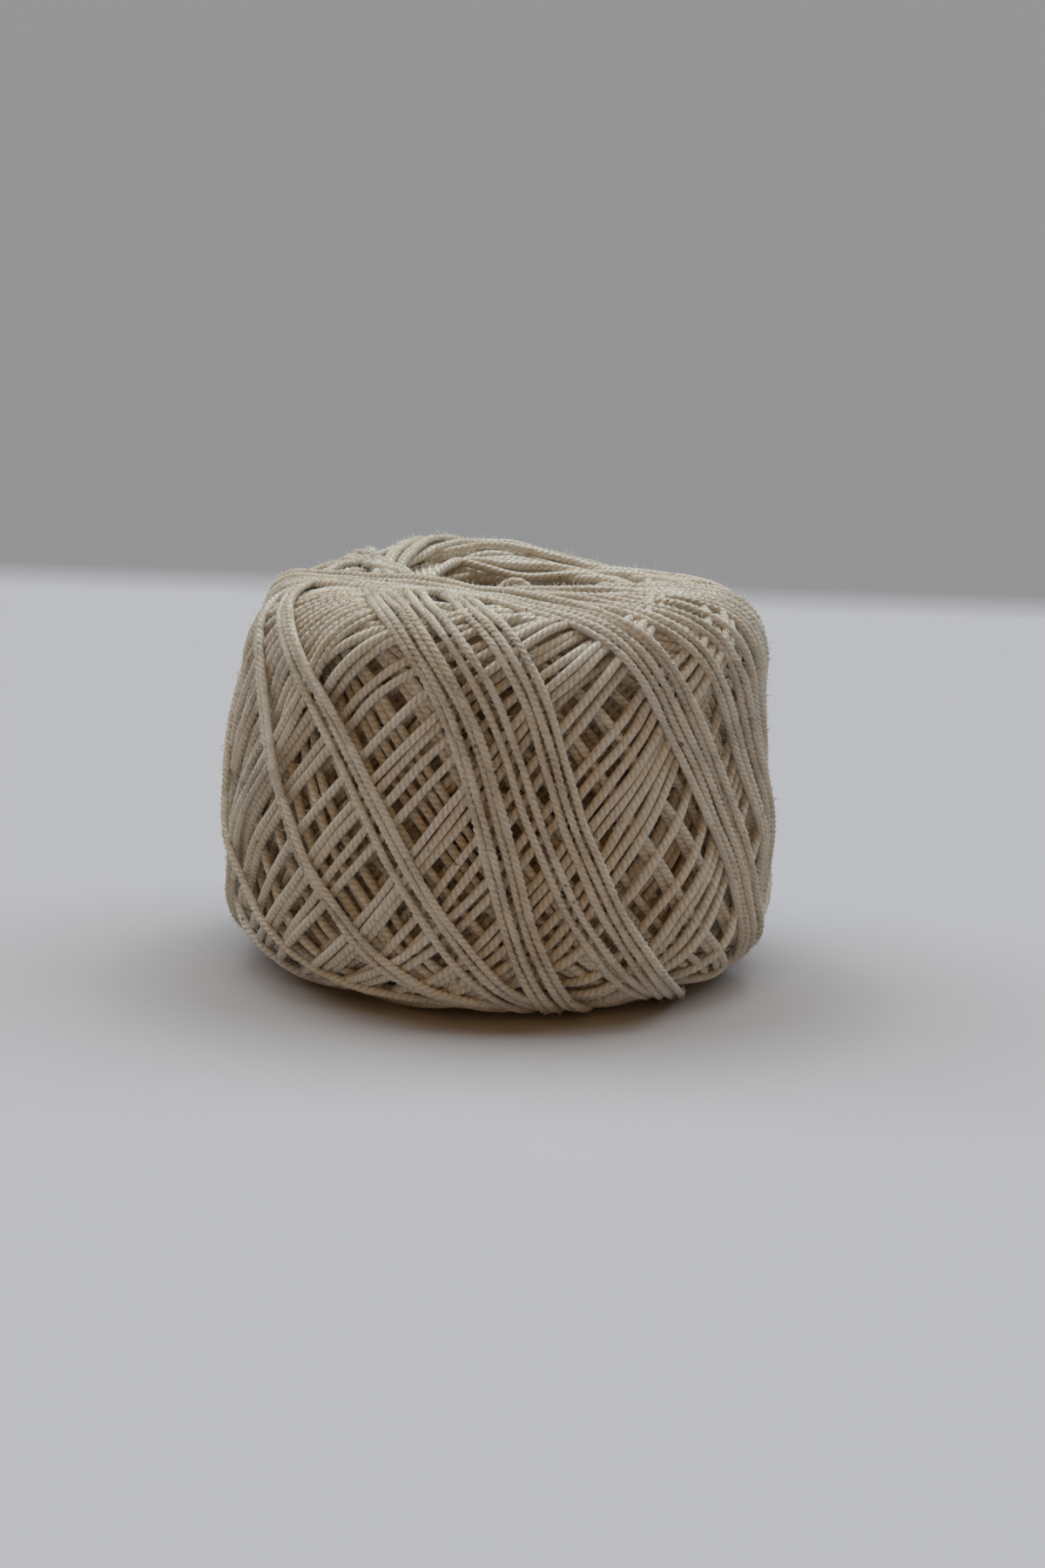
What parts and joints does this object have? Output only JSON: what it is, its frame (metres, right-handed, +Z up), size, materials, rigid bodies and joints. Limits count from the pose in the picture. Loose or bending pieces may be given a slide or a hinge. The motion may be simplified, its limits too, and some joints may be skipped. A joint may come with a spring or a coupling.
{
  "type": "wound ball of cotton thread",
  "caption": "Barrel-shaped ball of undyed cotton thread, wound in slanting crossed bands round an open middle.",
  "frame": {"origin": "centre of the flat ring that the ball stands on, on the axis of its hole", "axes": "+Z up along the hole through the ball, -Y towards the front, where the last bands lean to the left"},
  "size_m": [0.0728, 0.0724, 0.0539],
  "materials": {
    "cotton": "matt, undyed, slightly fuzzy twisted cotton"
  },
  "bodies": {
    "root": {"wound_ball": "cotton"}
  },
  "joints": []
}
